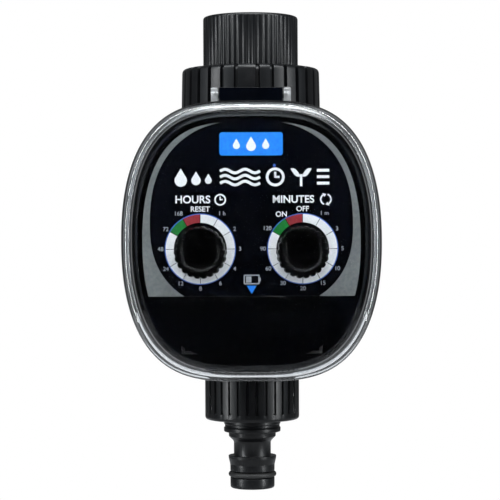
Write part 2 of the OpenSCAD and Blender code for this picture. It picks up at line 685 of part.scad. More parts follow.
inlet_adapter();
tap_washer();
swivel_nut();
nut_washer();
filter_screen();
inlet_spigot();
spigot_oring();
inlet_grommet();
valve_body();
valve_seats();
valve_ball();
valve_stem();
stem_orings();
valve_outlet();
outlet_oring();
outlet_grommet();
output_gear();
idler_gear();
idler_axle();
motor_pinion();
motor_shaft();
gear_motor();
gearbox_base();
gearbox_cover();
gearbox_screws();
limit_switches();
circuit_board();
control_chip();
board_screws();
frequency_switch();
runtime_switch();
frequency_shaft();
runtime_shaft();
shaft_seals();
frequency_dial();
runtime_dial();
battery_tray();
battery_cells();
battery_springs();
battery_plates();
battery_door();
door_seal();
front_case();
rear_case();
case_seal();
case_screws();
label_plate();
clear_lid();
hinge_pin();
hose_connector();
connector_washer();
nose_oring();
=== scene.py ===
import json
import math

import bmesh
import bpy
from mathutils import Matrix, Vector


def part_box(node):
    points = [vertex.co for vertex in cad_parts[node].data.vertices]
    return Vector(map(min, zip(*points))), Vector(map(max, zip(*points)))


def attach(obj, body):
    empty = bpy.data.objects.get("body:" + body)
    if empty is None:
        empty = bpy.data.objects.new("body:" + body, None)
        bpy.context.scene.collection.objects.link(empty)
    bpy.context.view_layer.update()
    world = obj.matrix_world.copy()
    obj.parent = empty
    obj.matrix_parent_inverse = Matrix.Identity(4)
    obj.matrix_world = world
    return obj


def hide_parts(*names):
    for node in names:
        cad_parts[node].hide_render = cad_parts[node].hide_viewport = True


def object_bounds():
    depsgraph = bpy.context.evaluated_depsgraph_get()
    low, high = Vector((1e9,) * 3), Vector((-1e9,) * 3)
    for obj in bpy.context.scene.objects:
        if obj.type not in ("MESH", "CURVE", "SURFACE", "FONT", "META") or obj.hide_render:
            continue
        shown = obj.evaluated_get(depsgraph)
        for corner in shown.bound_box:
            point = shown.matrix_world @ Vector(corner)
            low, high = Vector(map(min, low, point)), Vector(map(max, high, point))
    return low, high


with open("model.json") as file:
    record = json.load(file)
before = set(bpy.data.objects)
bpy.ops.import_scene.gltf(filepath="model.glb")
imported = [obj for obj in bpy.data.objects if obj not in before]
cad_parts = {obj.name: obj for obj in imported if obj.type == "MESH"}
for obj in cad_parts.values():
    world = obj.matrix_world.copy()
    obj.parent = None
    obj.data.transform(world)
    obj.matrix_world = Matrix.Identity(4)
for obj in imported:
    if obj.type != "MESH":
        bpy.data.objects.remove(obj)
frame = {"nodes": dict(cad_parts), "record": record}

MM = 0.001
TAU = 2 * math.pi
cad_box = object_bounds()

# ---------------------------------------------------------------- places and sizes, from the frame

case_lo, case_hi = (Vector(c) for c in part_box("rear_case"))
lid_lo, lid_hi = (Vector(c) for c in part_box("clear_lid"))
label_lo, label_hi = (Vector(c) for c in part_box("label_plate"))
nut_lo, nut_hi = (Vector(c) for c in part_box("swivel_nut"))
adapter_lo, adapter_hi = (Vector(c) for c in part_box("inlet_adapter"))
connector_lo, connector_hi = (Vector(c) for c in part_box("hose_connector"))
pin_lo, pin_hi = (Vector(c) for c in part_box("hinge_pin"))

CENTRE_Z = (case_lo.z + case_hi.z) / 2
CASE_HW = case_hi.x
CASE_HH = (case_hi.z - case_lo.z) / 2
LID_HW = lid_hi.x
LID_HH = CASE_HH + LID_HW - CASE_HW
LID_WALL = 1.8 * MM
LID_FRONT = lid_lo.y
LID_RIM = -26 * MM
LABEL_Y = label_lo.y
SIDE_POWER = 3.4
END_POWER = 2.25
PRINT_T = 0.03 * MM               # thickness of the printed film
HINGE = (pin_lo + pin_hi) / 2
G1_PITCH = 2.309 * MM
G34_PITCH = 1.814 * MM
SAME = 1e-7                       # radii closer than this are one radius
NOISE_LOW, NOISE_HIGH = 0.35, 0.65


# ---------------------------------------------------------------- materials

def new_material(name):
    mat = bpy.data.materials.new(name)
    mat.use_nodes = True
    nodes = mat.node_tree.nodes
    return mat, nodes, mat.node_tree.links, nodes["Principled BSDF"]


def noise(nodes, links, scale, detail=4.0, stretch=(1, 1, 1)):
    """Noise in object space: scale is in cells per metre."""
    coord = nodes.new("ShaderNodeTexCoord")
    mapping = nodes.new("ShaderNodeMapping")
    mapping.inputs["Scale"].default_value = stretch
    tex = nodes.new("ShaderNodeTexNoise")
    tex.inputs["Scale"].default_value = scale
    tex.inputs["Detail"].default_value = detail
    links.new(coord.outputs["Object"], mapping.inputs["Vector"])
    links.new(mapping.outputs["Vector"], tex.inputs["Vector"])
    return tex


def vary(nodes, links, tex, socket, low, high):
    """Drives a number from noise, between low and high."""
    span = nodes.new("ShaderNodeMapRange")
    span.inputs["From Min"].default_value = NOISE_LOW
    span.inputs["From Max"].default_value = NOISE_HIGH
    span.inputs["To Min"].default_value = low
    span.inputs["To Max"].default_value = high
    links.new(tex.outputs["Fac"], span.inputs["Value"])
    links.new(span.outputs["Result"], socket)


def tint(nodes, links, tex, socket, low, high):
    """Drives a colour from noise, between two close colours."""
    ramp = nodes.new("ShaderNodeValToRGB")
    ramp.color_ramp.elements[0].position = NOISE_LOW
    ramp.color_ramp.elements[1].position = NOISE_HIGH
    ramp.color_ramp.elements[0].color = (*low, 1)
    ramp.color_ramp.elements[1].color = (*high, 1)
    links.new(tex.outputs["Fac"], ramp.inputs["Fac"])
    links.new(ramp.outputs["Color"], socket)


def grain(nodes, links, bsdf, scale, distance, strength=1.0, stretch=(1, 1, 1)):
    """Surface grain as bump, distance metres deep."""
    tex = noise(nodes, links, scale, 3.0, stretch)
    bump = nodes.new("ShaderNodeBump")
    bump.inputs["Strength"].default_value = strength
    bump.inputs["Distance"].default_value = distance
    links.new(tex.outputs["Fac"], bump.inputs["Height"])
    links.new(bump.outputs["Normal"], bsdf.inputs["Normal"])


def plastic(name, low, high, rough, grain_scale, grain_depth, level=0.5):
    """Moulded plastic: slight colour drift, uneven gloss and a moulded grain."""
    mat, nodes, links, bsdf = new_material(name)
    drift = noise(nodes, links, 90)
    tint(nodes, links, drift, bsdf.inputs["Base Color"], low, high)
    wear = noise(nodes, links, 140, 2.0)
    vary(nodes, links, wear, bsdf.inputs["Roughness"], rough[0], rough[1])
    grain(nodes, links, bsdf, grain_scale, grain_depth)
    bsdf.inputs["Specular IOR Level"].default_value = level
    return mat


def metal(name, low, high, rough, stretch=(1, 1, 12)):
    """Drawn or turned metal: brushed along its length."""
    mat, nodes, links, bsdf = new_material(name)
    bsdf.inputs["Metallic"].default_value = 1.0
    tint(nodes, links, noise(nodes, links, 120), bsdf.inputs["Base Color"], low, high)
    vary(nodes, links, noise(nodes, links, 2200, 4.0, stretch), bsdf.inputs["Roughness"], rough[0], rough[1])
    grain(nodes, links, bsdf, 2600, 0.006 * MM, 0.6, stretch)
    return mat


def clear_plastic(name, clear=1.0, rough=(0.0, 0.02)):
    """Clear polycarbonate, a little uneven from moulding."""
    mat, nodes, links, bsdf = new_material(name)
    bsdf.inputs["Transmission Weight"].default_value = clear
    bsdf.inputs["IOR"].default_value = 1.58
    bsdf.inputs["Specular IOR Level"].default_value = 1.0
    tint(nodes, links, noise(nodes, links, 40), bsdf.inputs["Base Color"],
         (0.95, 0.965, 0.975), (0.975, 0.98, 0.99))
    vary(nodes, links, noise(nodes, links, 160), bsdf.inputs["Roughness"], rough[0], rough[1])
    grain(nodes, links, bsdf, 30, 0.003 * MM, 0.1)
    return mat


def ink(name, low, high, rough=(0.3, 0.42)):
    """Printing ink on the label: faint mottling and the film's soft gloss."""
    mat, nodes, links, bsdf = new_material(name)
    tint(nodes, links, noise(nodes, links, 900), bsdf.inputs["Base Color"], low, high)
    vary(nodes, links, noise(nodes, links, 300), bsdf.inputs["Roughness"], rough[0], rough[1])
    grain(nodes, links, bsdf, 5000, 0.004 * MM, 0.5)
    return mat


nut_black = plastic("nut_black", (0.0014, 0.0016, 0.002), (0.0022, 0.0023, 0.0027),
                    (0.28, 0.34), 5200, 0.005 * MM, 0.24)
case_black = plastic("case_black", (0.0003, 0.0005, 0.0012), (0.0005, 0.0008, 0.0018),
                     (0.13, 0.17), 3800, 0.0008 * MM, 0.32)
dial_black = plastic("dial_black", (0.0003, 0.0003, 0.0006), (0.0005, 0.0005, 0.0009),
                     (0.2, 0.25), 4600, 0.001 * MM, 0.07)
label_black = plastic("label_black", (0.0006, 0.0011, 0.003), (0.001, 0.0016, 0.0042),
                      (0.15, 0.18), 5200, 0.0008 * MM, 0.35)
label_grey = ink("label_grey", (0.13, 0.142, 0.142), (0.17, 0.182, 0.18))
rubber = plastic("rubber_black", (0.005, 0.005, 0.005), (0.008, 0.008, 0.008),
                 (0.5, 0.62), 6000, 0.006 * MM, 0.35)
inner_black = plastic("inner_black", (0.03, 0.032, 0.035), (0.05, 0.053, 0.057),
                      (0.45, 0.58), 4200, 0.012 * MM)
acetal = plastic("acetal", (0.76, 0.74, 0.66), (0.84, 0.82, 0.74), (0.3, 0.4), 3600, 0.006 * MM)
seat_white = plastic("seat_white", (0.82, 0.8, 0.76), (0.88, 0.86, 0.82), (0.4, 0.5), 3000, 0.006 * MM)
board_green = plastic("board_green", (0.01, 0.12, 0.04), (0.02, 0.17, 0.06), (0.22, 0.34), 1200, 0.01 * MM)
chip_black = plastic("chip_black", (0.012, 0.012, 0.013), (0.02, 0.02, 0.022), (0.5, 0.6), 7000, 0.006 * MM)
cell_jacket = plastic("cell_jacket", (0.16, 0.18, 0.2), (0.2, 0.22, 0.25), (0.18, 0.28), 800, 0.004 * MM)
switch_blue = plastic("switch_blue", (0.015, 0.05, 0.16), (0.025, 0.07, 0.2), (0.35, 0.45), 4000, 0.008 * MM)
steel = metal("steel", (0.56, 0.57, 0.59), (0.68, 0.69, 0.7), (0.2, 0.36))
brass = metal("brass", (0.68, 0.5, 0.22), (0.78, 0.6, 0.3), (0.22, 0.36))
lid_clear = clear_plastic("lid_clear")
lid_frosted = clear_plastic("lid_frosted", 0.93, (0.25, 0.35))
ink_white = ink("ink_white", (0.86, 0.87, 0.88), (0.93, 0.935, 0.94))
ink_dim = ink("ink_dim", (0.34, 0.36, 0.39), (0.4, 0.42, 0.45))
ink_green = ink("ink_green", (0.0, 0.17, 0.016), (0.002, 0.21, 0.028))
ink_red = ink("ink_red", (0.26, 0.012, 0.02), (0.33, 0.02, 0.03))
ink_blue = ink("ink_blue", (0.0, 0.2, 0.82), (0.004, 0.245, 0.9))
ink_pale_blue = ink("ink_pale_blue", (0.03, 0.12, 0.5), (0.05, 0.15, 0.58))

SLOT_MATERIALS = {
    "case_black": case_black, "nut_black": nut_black, "dial_black": dial_black, "label_print": label_black,
    "lid_clear": lid_clear, "rubber_black": rubber, "inner_plastic": inner_black, "gear_plastic": acetal,
    "seat_plastic": seat_white, "steel": steel, "brass": brass, "board_green": board_green,
    "chip_black": chip_black, "cell_jacket": cell_jacket, "switch_blue": switch_blue,
}

for part in frame["record"]["subparts"]:
    cad = frame["nodes"][part["node"]]
    cad.data.materials.clear()
    cad.data.materials.append(SLOT_MATERIALS[part["material_slot"]])


# ---------------------------------------------------------------- mesh helpers

def finish_piece(name, bm, material, body, replaced=(), smooth_angle=35):
    """Turns a bmesh into a piece that rides on a body."""
    bmesh.ops.recalc_face_normals(bm, faces=bm.faces)
    mesh = bpy.data.meshes.new(name)
    bm.to_mesh(mesh)
    bm.free()
    for face in mesh.polygons:
        face.use_smooth = True
    mesh.set_sharp_from_angle(angle=math.radians(smooth_angle))
    mesh.materials.append(material)
    piece = bpy.data.objects.new(name, mesh)
    bpy.context.scene.collection.objects.link(piece)
    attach(piece, body)
    if replaced:
        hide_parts(*replaced)
    return piece


def bridge(bm, ring_a, ring_b):
    """Quads between two closed rings of the same length."""
    count = len(ring_a)
    for i in range(count):
        k = (i + 1) % count
        bm.faces.new((ring_a[i], ring_a[k], ring_b[k], ring_b[i]))


def fan(bm, ring, point):
    centre = bm.verts.new(point)
    for i in range(len(ring)):
        bm.faces.new((ring[i], ring[(i + 1) % len(ring)], centre))


def fillet(corners, steps=5):
    """Profile with rounded corners: each corner is (r, z, radius)."""
    points = []
    for i, (r, z, radius) in enumerate(corners):
        here = Vector((r, z))
        if radius == 0 or i in (0, len(corners) - 1):
            points.append(here)
            continue
        before = Vector(corners[i - 1][:2]) - here
        after = Vector(corners[i + 1][:2]) - here
        half = before.angle(after) / 2
        reach = min(radius / math.tan(half), 0.49 * before.length, 0.49 * after.length)
        start = here + before.normalized() * reach
        end = here + after.normalized() * reach
        for k in range(steps + 1):
            t = k / steps
            points.append(start.lerp(here, t).lerp(here.lerp(end, t), t))
    return points


def lathe(bm, profile, angles, shape=None, closed=True):
    """Turns a profile of (r, z) round Z. shape(r, z, angle) may change the radius."""
    rings = []
    for r, z in profile:
        ring = []
        for a in angles:
            rr = shape(r, z, a) if shape else r
            ring.append(bm.verts.new((rr * math.sin(a), -rr * math.cos(a), z)))
        rings.append(ring)
    for i in range(len(rings) - 1):
        bridge(bm, rings[i], rings[i + 1])
    if closed:
        bridge(bm, rings[-1], rings[0])
    return rings


def even_angles(count):
    return [TAU * i / count for i in range(count)]


def groove_angles(centres, half_width, edge, between=3):
    """Angles round a ribbed part, close together at the grooves' edges."""
    angles = []
    centres = sorted(c % TAU for c in centres)
    for i, c in enumerate(centres):
        following = centres[(i + 1) % len(centres)] + (TAU if i == len(centres) - 1 else 0)
        for offset in (-half_width - edge, -half_width - edge / 2, -half_width, 0, half_width,
                       half_width + edge / 2, half_width + edge):
            angles.append(c + offset)
        start, end = c + half_width + edge, following - half_width - edge
        angles += [start + (end - start) * k / (between + 1) for k in range(1, between + 1)]
    return angles


def smooth_step(low, high, value):
    t = min(max((value - low) / (high - low), 0), 1)
    return t * t * (3 - 2 * t)


def groove_depth(angle, centres, half_width, edge):
    """1 in the middle of a groove and 0 on a rib."""
    gap = min(abs((angle - c + math.pi) % TAU - math.pi) for c in centres)
    return 1 - smooth_step(half_width, half_width + edge, gap)


def thread_wall(pitch, crest, root, z_start, z_end):
    """Helical thread: radius at (z, angle), fading out at both ends."""
    def shape(r, z, a):
        if not z_start < z < z_end:
            return r
        phase = (z / pitch + a / TAU) % 1
        ridge = max(0.0, 1 - abs(phase - 0.5) * 2.6)
        fade = min(1.0, (z - z_start) / pitch, (z_end - z) / pitch)
        return root + (crest - root) * min(1.0, ridge * 1.6) * fade
    return shape


def outline(hw, hh, count=180):
    """Outline of the case at half-width hw and half-height hh, round the case's centre."""
    points = []
    for i in range(count):
        a = TAU * i / count
        c, s = math.cos(a), math.sin(a)
        points.append((hw * math.copysign(abs(c) ** (2 / SIDE_POWER), c),
                       hh * math.copysign(abs(s) ** (2 / END_POWER), s)))
    return points


def outline_ring(bm, hw, hh, y, count=180):
    return [bm.verts.new((x, y, CENTRE_Z + z)) for x, z in outline(hw, hh, count)]


def plate(bm, points, y, thickness=PRINT_T):
    """Thin plate from an outline of (x, z), standing proud of y towards the front."""
    back = [bm.verts.new((x, y, z)) for x, z in points]
    front = [bm.verts.new((x, y - thickness, z)) for x, z in points]
    bm.faces.new(back)
    bm.faces.new(front)
    bridge(bm, back, front)


def arc_points(cx, cz, r, start, end, steps):
    """Points on an arc; angles in degrees, clockwise from the top."""
    points = []
    for k in range(steps + 1):
        a = math.radians(start + (end - start) * k / steps)
        points.append((cx + r * math.sin(a), cz + r * math.cos(a)))
    return points


def sector(bm, cx, cz, r_in, r_out, start, end, y, thickness=PRINT_T):
    """Band between two radii and two angles, as quads."""
    steps = max(3, int(abs(end - start) / 2.5))
    inner = arc_points(cx, cz, r_in, start, end, steps)
    outer = arc_points(cx, cz, r_out, start, end, steps)
    full = abs(abs(end - start) - 360) < 1e-6
    if full:
        inner, outer = inner[:-1], outer[:-1]
    rows = [[bm.verts.new((x, yy, z)) for x, z in line] for line, yy in
            ((inner, y), (outer, y), (outer, y - thickness), (inner, y - thickness))]
    count = len(inner)
    last = count if full else count - 1
    for i in range(last):
        k = (i + 1) % count
        for a in range(4):
            b = (a + 1) % 4
            bm.faces.new((rows[a][i], rows[a][k], rows[b][k], rows[b][i]))
    if not full:
        bm.faces.new([rows[a][0] for a in range(4)])
        bm.faces.new([rows[a][-1] for a in range(4)])


def stroke(bm, points, width, y, thickness=PRINT_T):
    """Drawn line of constant width through points of (x, z)."""
    left, right = [], []
    for i, p in enumerate(points):
        a = Vector(points[max(i - 1, 0)])
        b = Vector(points[min(i + 1, len(points) - 1)])
        along = (b - a).normalized()
        side = Vector((-along.y, along.x)) * width / 2
        left.append(tuple(Vector(p) + side))
        right.append(tuple(Vector(p) - side))
    for i in range(len(points) - 1):
        plate(bm, [left[i], left[i + 1], right[i + 1], right[i]], y, thickness)


def add_text(bm, text, x, z, size, y, thickness=PRINT_T, weight=0.0):
    """Printed characters, centred on (x, z). size is the height of a capital."""
    curve = bpy.data.curves.new("characters", "FONT")
    curve.body = text
    curve.size = size / 0.7
    curve.align_x = "CENTER"
    curve.align_y = "CENTER"
    curve.extrude = thickness / 2
    curve.offset = weight
    holder = bpy.data.objects.new("characters", curve)
    bpy.context.scene.collection.objects.link(holder)
    bpy.context.view_layer.update()
    mesh = bpy.data.meshes.new_from_object(holder.evaluated_get(bpy.context.evaluated_depsgraph_get()))
    place = Matrix.Translation((x, y - thickness / 2, z)) @ Matrix.Rotation(math.radians(90), 4, "X")
    mesh.transform(place)
    bm.from_mesh(mesh)
    bpy.data.objects.remove(holder)
    bpy.data.curves.remove(curve)
    bpy.data.meshes.remove(mesh)


def refine(node, name, material, body, bevel, angle=32):
    """Stand-in for a CAD node, made from its own solid, with its edges softened."""
    bm = bmesh.new()
    bm.from_mesh(frame["nodes"][node].data)
    bmesh.ops.remove_doubles(bm, verts=bm.verts, dist=0.002 * MM)
    bmesh.ops.dissolve_limit(bm, angle_limit=math.radians(0.6), verts=bm.verts, edges=bm.edges)
    piece = finish_piece(name, bm, material, body, (node,), angle)
    # Large faces square to the front are flat-shaded: smoothing would bend their reflections
    flat_area, square_on = 1 * MM * MM, 0.999
    for face in piece.data.polygons:
        face.use_smooth = face.area < flat_area or abs(face.normal.y) < square_on
    soft = piece.modifiers.new("soft_edges", "BEVEL")
    soft.width = bevel
    soft.segments = 2
    soft.limit_method = "ANGLE"
    soft.angle_limit = math.radians(angle)


# ---------------------------------------------------------------- inlet

def make_adapter():
    """Thread adapter: fine ribs outside, the tap's thread inside, a male thread below."""
    top, r_out = adapter_hi.z, adapter_hi.x
    ribs_foot = nut_hi.z + 0.3 * MM
    foot = adapter_lo.z
    r_male, r_bore, r_ledge = 15.05 * MM, 12.06 * MM, 9 * MM
    r_root = r_bore + 1.1 * MM
    floor, seat, r_seat = -12 * MM, -14.4 * MM, 12.5 * MM
    outside = fillet([
        (r_male - 1.2 * MM, foot, 0), (r_male - 0.2 * MM, foot, 0.4 * MM), (r_male, foot + 1.2 * MM, 0),
        (r_male, ribs_foot, 0), (r_out, ribs_foot, 0.3 * MM), (r_out, top, 1.1 * MM),
        (r_bore + 1.3 * MM, top, 0.5 * MM), (r_root, top - 1.4 * MM, 0)])
    ribs = 52
    male_top = nut_hi.z - 1 * MM
    rows, rows_per_turn = 34, 8
    male_rows = [Vector((r_male, foot + 1.2 * MM + (male_top - foot - 1.2 * MM) * k / rows))
                 for k in range(1, rows)]
    split = next(i for i, p in enumerate(outside) if p.y > foot + 1.3 * MM)
    outside = outside[:split] + male_rows + outside[split:]
    depth = top - 1.4 * MM - floor
    count = int(depth / G34_PITCH * rows_per_turn)
    bore = [Vector((r_root, top - 1.4 * MM - depth * k / count)) for k in range(1, count + 1)]
    inside = [Vector(c) for c in ((r_seat, floor), (r_seat, seat), (r_ledge, seat), (r_ledge, foot))]
    tap_thread = thread_wall(G34_PITCH, r_bore, r_root, floor + 0.6 * MM, top - 1.6 * MM)
    male_thread = thread_wall(G1_PITCH, r_male, r_male - 1.2 * MM, foot + 0.8 * MM, male_top)

    def shape(r, z, a):
        if abs(r - r_root) < SAME:
            return tap_thread(r, z, a)
        if abs(r - r_male) < SAME:
            return male_thread(r, z, a)
        if r > r_out - 1.2 * MM and ribs_foot <= z <= top:
            fade = smooth_step(0, 1.6 * MM, top - 0.7 * MM - z)
            wave = 0.5 - 0.5 * math.cos(a * ribs)
            return r - 0.5 * MM * fade * wave ** 1.6
        return r

    bm = bmesh.new()
    lathe(bm, outside + bore + inside, even_angles(ribs * 8), shape)
    finish_piece("adapter_body", bm, nut_black, "adapter", ("inlet_adapter",), 50)


def make_swivel_nut():
    """Swivel nut: broad ribs with one wider rib in front, running over a round shoulder."""
    top, foot, r_out = nut_hi.z, nut_lo.z, nut_hi.x
    centres = [math.radians(5.7 + 11.8 * k) for k in range(30)]
    half, edge = math.radians(1.0), math.radians(0.75)
    hole, crest = 12.95 * MM, 15.15 * MM
    root = crest + 1.0 * MM
    outside = fillet([
        (hole, foot, 0), (r_out, foot, 0.6 * MM), (r_out - 0.25 * MM, top - 3.5 * MM, 0),
        (r_out - 0.35 * MM, top, 3.1 * MM), (17.3 * MM, top, 0.5 * MM), (17.2 * MM, top - 0.8 * MM, 0)], 9)
    rows = 40
    turns = [Vector((root, top - 0.8 * MM - (top - foot - 3.2 * MM) * k / rows)) for k in range(rows + 1)]
    inside = turns + [Vector((hole, foot + 2.4 * MM))]
    female = thread_wall(G1_PITCH, crest, root, foot + 2.6 * MM, top - 1 * MM)
    deep = 1.25 * MM

    def shape(r, z, a):
        if abs(r - root) < SAME:
            return female(r, z, a)
        if r > 18 * MM:
            reach = smooth_step(19.5 * MM, 21.5 * MM, r) * smooth_step(0, 0.5 * MM, z - foot)
            return r - deep * reach * groove_depth(a, centres, half, edge)
        return r

    def sink(r, a):
        """Grooves also sink into the top face, so that they end open."""
        return 0.55 * MM * smooth_step(19.2 * MM, 21.5 * MM, r) * groove_depth(a, centres, half, edge)

    bm = bmesh.new()
    angles = groove_angles(centres, half, edge)
    rings = lathe(bm, outside + inside, angles, shape)
    for (r, z), ring in zip(outside, rings):
        if z > top - 3.4 * MM and r > 19 * MM:
            for a, vert in zip(angles, ring):
                vert.co.z -= sink(r, a)
    finish_piece("swivel_nut_body", bm, nut_black, "swivel_nut", ("swivel_nut",), 50)


# ---------------------------------------------------------------- outlet

NOSE_RING_Z = CENTRE_Z - 83.8 * MM


def make_connector():
    """Hose connector: ribbed nut, two shoulders, neck, clip lip and a tip with an O-ring groove."""
    top, tip, r_out = connector_hi.z, connector_lo.z, connector_hi.x
    nut_foot = CENTRE_Z - 64 * MM
    crest, bore = 13.0 * MM, 5 * MM
    root = crest + 0.9 * MM
    floor = CENTRE_Z - 61.3 * MM
    z0 = CENTRE_Z
    outside = fillet([
        (crest + 1.4 * MM, top, 0), (r_out, top, 0.5 * MM),
        (r_out, nut_foot + 2.9 * MM, 0), (r_out, nut_foot + 2.6 * MM, 0), (r_out, nut_foot, 1.9 * MM),
        (10.15 * MM, nut_foot, 0.25 * MM), (10.15 * MM, z0 - 65.6 * MM, 0.15 * MM),
        (9.85 * MM, z0 - 65.9 * MM, 0), (9.85 * MM, z0 - 66.7 * MM, 0),
        (10.2 * MM, z0 - 67.1 * MM, 0.2 * MM), (10.15 * MM, z0 - 68.5 * MM, 0.4 * MM),
        (8.5 * MM, z0 - 68.6 * MM, 0.2 * MM), (8.4 * MM, z0 - 70.2 * MM, 0.35 * MM),
        (6.9 * MM, z0 - 71.7 * MM, 0.6 * MM),
        (6.64 * MM, z0 - 72.3 * MM, 0), (6.64 * MM, z0 - 77.2 * MM, 0.25 * MM),
        (8.6 * MM, z0 - 77.1 * MM, 0.16 * MM), (8.5 * MM, z0 - 78.1 * MM, 0.5 * MM),
        (8.0 * MM, z0 - 80.2 * MM, 1.5 * MM),
        (7.95 * MM, NOSE_RING_Z + 1.25 * MM, 0.15 * MM), (6.9 * MM, NOSE_RING_Z + 1 * MM, 0.15 * MM),
        (6.9 * MM, NOSE_RING_Z - 1 * MM, 0.15 * MM), (7.95 * MM, NOSE_RING_Z - 1.2 * MM, 0.2 * MM),
        (7.95 * MM, tip + 1.6 * MM, 0), (7.9 * MM, tip, 1.5 * MM),
        (bore + 0.4 * MM, tip, 0.3 * MM), (bore, tip + 0.7 * MM, 0)], 6)
    rows = 44
    inside = [Vector((bore, floor))] + [Vector((root, floor + (top - floor) * k / rows)) for k in range(rows)]
    female = thread_wall(G34_PITCH, crest, root, floor + 1.5 * MM, top - 1 * MM)
    count = 32
    centres = [TAU * (k + 0.5) / count for k in range(count)]
    half, edge = math.radians(0.95), math.radians(1.1)
    deep = 0.75 * MM

    def shape(r, z, a):
        if abs(r - root) < SAME:
            return female(r, z, a)
        if r > r_out - 0.8 * MM:
            reach = smooth_step(nut_foot + 2.5 * MM, nut_foot + 2.9 * MM, z)
            return r - deep * reach * groove_depth(a, centres, half, edge)
        return r

    bm = bmesh.new()
    lathe(bm, outside + inside, groove_angles(centres, half, edge), shape)
    finish_piece("connector_body", bm, nut_black, "connector", ("hose_connector",), 42)


def make_nose_ring():
    """O-ring in the tip's groove."""
    ring_r, tube_r = 7.65 * MM, 0.95 * MM
    profile = [Vector((ring_r + tube_r * math.cos(a), NOSE_RING_Z + tube_r * math.sin(a)))
               for a in even_angles(20)]
    bm = bmesh.new()
    lathe(bm, profile, even_angles(128))
    finish_piece("nose_seal", bm, rubber, "connector", ("nose_oring",))


def make_outlet_pipe():
    """Valve outlet: the pipe below the case, with its male hose thread."""
    lo, hi = (Vector(c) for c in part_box("valve_outlet"))
    r_pipe, r_flange, r_inner, r_thread, bore = 11.4 * MM, 14.5 * MM, 9.8 * MM, 12.9 * MM, 6.4 * MM
    flange_top = CENTRE_Z - 3.05 * MM
    thread_top = CENTRE_Z - CASE_HH - 1.2 * MM
    rows = 48
    threads = [Vector((r_thread, lo.z + 0.6 * MM + (thread_top - lo.z - 0.6 * MM) * k / rows))
               for k in range(rows + 1)]
    flange_foot = flange_top - 2.95 * MM
    profile = [Vector((bore, lo.z)), Vector((r_thread - 0.9 * MM, lo.z))] + threads + [
        Vector((r_pipe, thread_top)), Vector((r_pipe, flange_foot)), Vector((r_flange, flange_foot)),
        Vector((r_flange, flange_top)), Vector((r_inner, flange_top)),
        Vector((r_inner, hi.z)), Vector((bore, hi.z))]
    male = thread_wall(G34_PITCH, r_thread, r_thread - 1.1 * MM, lo.z + 0.4 * MM, thread_top - 0.5 * MM)

    def shape(r, z, a):
        return male(r, z, a) if abs(r - r_thread) < SAME else r

    bm = bmesh.new()
    lathe(bm, profile, even_angles(192), shape)
    finish_piece("outlet_pipe", bm, inner_black, "case", ("valve_outlet",), 45)


# ---------------------------------------------------------------- case

def make_case():
    """Case halves and battery door, each from its own solid."""
    refine("front_case", "front_shell", case_black, "case", 0.25 * MM)
    refine("rear_case", "rear_shell", case_black, "case", 0.25 * MM)
    refine("battery_door", "battery_hatch_cover", case_black, "battery_hatch", 0.3 * MM)


# ---------------------------------------------------------------- dials

DIAL_BODIES = {"frequency_dial": "frequency_knob", "runtime_dial": "runtime_knob"}


def make_dial(node):
    """Scalloped dial with a dished rim and a raised pointer."""
    lo, hi = (Vector(c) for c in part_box(node))
    centre = (lo + hi) / 2
    radius = (hi.x - lo.x) / 2
    foot, top = hi.y, lo.y + 0.3 * MM
    lobes, scallop = 22, 0.65 * MM
    corners = [(3.02 * MM, foot, 0), (radius, foot, 0.3 * MM), (radius, foot - 1.2 * MM, 0.3 * MM),
               (radius - 0.2 * MM, foot - 1.5 * MM, 0), (radius - 0.4 * MM, top, 1.1 * MM),
               (radius - 2.4 * MM, top + 0.15 * MM, 0.6 * MM), (radius - 3.2 * MM, top + 0.7 * MM, 0.6 * MM),
               (radius - 3.4 * MM, top + 0.75 * MM, 0), (1 * MM, top + 0.75 * MM, 0)]
    # Profile runs as (radius, depth), and depth becomes y
    profile = fillet(corners, 7)
    angles = even_angles(lobes * 10)
    bm = bmesh.new()
    rings = []
    for r, depth in profile:
        ring = []
        for a in angles:
            wave = abs(math.sin(a * lobes / 2))
            reach = smooth_step(radius - 2.6 * MM, radius - 0.9 * MM, r)
            rr = r - scallop * reach * (1 - wave) ** 1.5
            ring.append(bm.verts.new((centre.x + rr * math.sin(a), depth, centre.z + rr * math.cos(a))))
        rings.append(ring)
    for i in range(len(rings) - 1):
        bridge(bm, rings[i], rings[i + 1])
    fan(bm, rings[-1], (centre.x, top + 0.75 * MM, centre.z))
    bm.faces.new(rings[0])
    # Pointer: a raised bar with rounded ends
    half, inner, outer = 0.55 * MM, 1.6 * MM, radius - 1.5 * MM
    ends = [math.pi / 2 - math.pi * k / 10 for k in range(11)]
    bar = [(centre.x + half * math.sin(a), centre.z + outer + half * (math.cos(a) - 1)) for a in ends]
    bar += [(centre.x - half * math.sin(a), centre.z + inner - half * (math.cos(a) - 1)) for a in ends]
    plate(bm, bar, top + 0.8 * MM, 1.05 * MM)
    finish_piece(node + "_cap", bm, dial_black, DIAL_BODIES[node], (node,), 40)


# ---------------------------------------------------------------- label

dial_lo, dial_hi = (Vector(c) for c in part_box("runtime_dial"))
RING_Z = (dial_lo.z + dial_hi.z) / 2 + 1.1 * MM        # the printed rings sit a little above the shafts
RING_X = (dial_lo.x + dial_hi.x) / 2 + 0.05 * MM
RING_R = 11.8 * MM
LABEL_FOOT = label_lo.z


def cut_above(points, z_cut):
    """Part of an outline above a straight line."""
    kept = []
    for i, (x, z) in enumerate(points):
        nx, nz = points[(i + 1) % len(points)]
        if z >= z_cut:
            kept.append((x, z))
        if (z - z_cut) * (nz - z_cut) < 0:
            t = (z_cut - z) / (nz - z)
            kept.append((x + (nx - x) * t, z_cut))
    return kept


